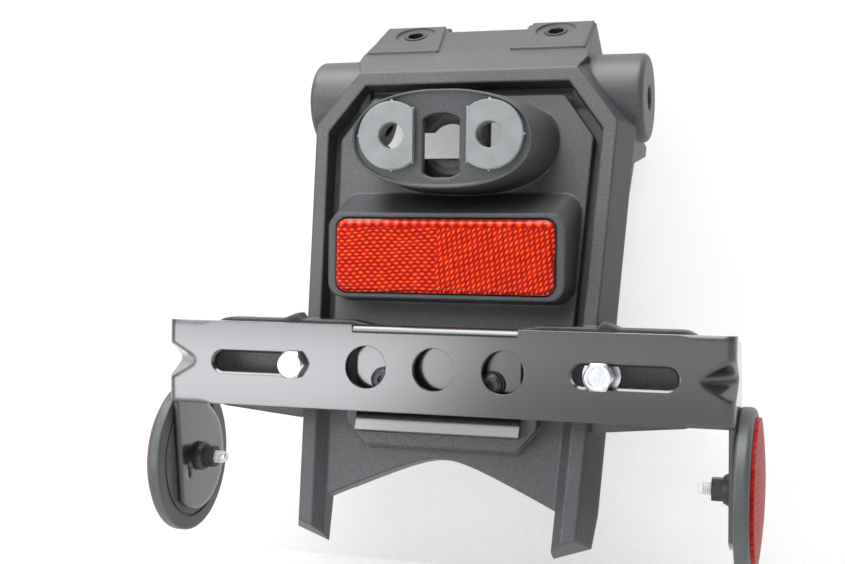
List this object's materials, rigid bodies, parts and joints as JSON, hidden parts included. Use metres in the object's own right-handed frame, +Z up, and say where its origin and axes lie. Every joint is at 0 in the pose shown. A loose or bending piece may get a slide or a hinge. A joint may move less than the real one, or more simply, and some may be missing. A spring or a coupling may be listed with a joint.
{
  "type": "motorbike tail tidy",
  "caption": "Motorcycle tail tidy: moulded number-plate carrier with folded steel plate bracket, lamp boss with rubber grommets, rear reflector and side reflectors.",
  "frame": {"origin": "centre of the plate bracket's middle hole, on the bracket's front face", "axes": "-Y faces the rear of the bike, where the plate is; +Z is up as mounted; +X runs across the bike, to the right seen from behind it"},
  "size_m": [0.2366, 0.0916, 0.2103],
  "materials": {
    "body_plastic": "fine grained, satin",
    "reflector_black": "satin",
    "grey_rubber": "matte",
    "red_lens": "clear gloss over prisms",
    "black_steel": "satin powder coat",
    "black_screw": "black oxide",
    "zinc": "bright zinc plate",
    "brass": "turned"
  },
  "bodies": {
    "root": {"body": "body_plastic", "rear_cover": "body_plastic", "cover_screw_1": "black_screw", "cover_screw_2": "black_screw", "cover_screw_3": "black_screw", "cover_screw_4": "black_screw", "cover_screw_5": "black_screw", "cover_screw_6": "black_screw", "cable_plate": "body_plastic", "cable_plate_screw_left": "black_screw", "cable_plate_screw_right": "black_screw", "lamp_grommet_left": "grey_rubber", "lamp_grommet_right": "grey_rubber", "reflector_back": "reflector_black", "reflector_lens": "red_lens", "reflector_stud": "zinc", "reflector_washer": "zinc", "reflector_nut": "zinc", "plate_bracket": "black_steel", "bracket_screw_left": "zinc", "bracket_screw_right": "zinc", "bracket_washer_left": "zinc", "bracket_washer_right": "zinc", "bracket_insert_left": "brass", "bracket_insert_right": "brass", "plate_bolt_left": "zinc", "plate_bolt_right": "zinc", "plate_nut_left": "zinc", "plate_nut_right": "zinc", "side_reflector_base_left": "reflector_black", "side_reflector_base_right": "reflector_black", "side_reflector_lens_left": "red_lens", "side_reflector_lens_right": "red_lens", "side_reflector_stud_left": "zinc", "side_reflector_stud_right": "zinc", "side_reflector_washer_left": "black_screw", "side_reflector_washer_right": "black_screw", "side_reflector_nut_left": "black_screw", "side_reflector_nut_right": "black_screw", "ear_bush_left": "zinc", "ear_bush_right": "zinc"}
  },
  "joints": []
}
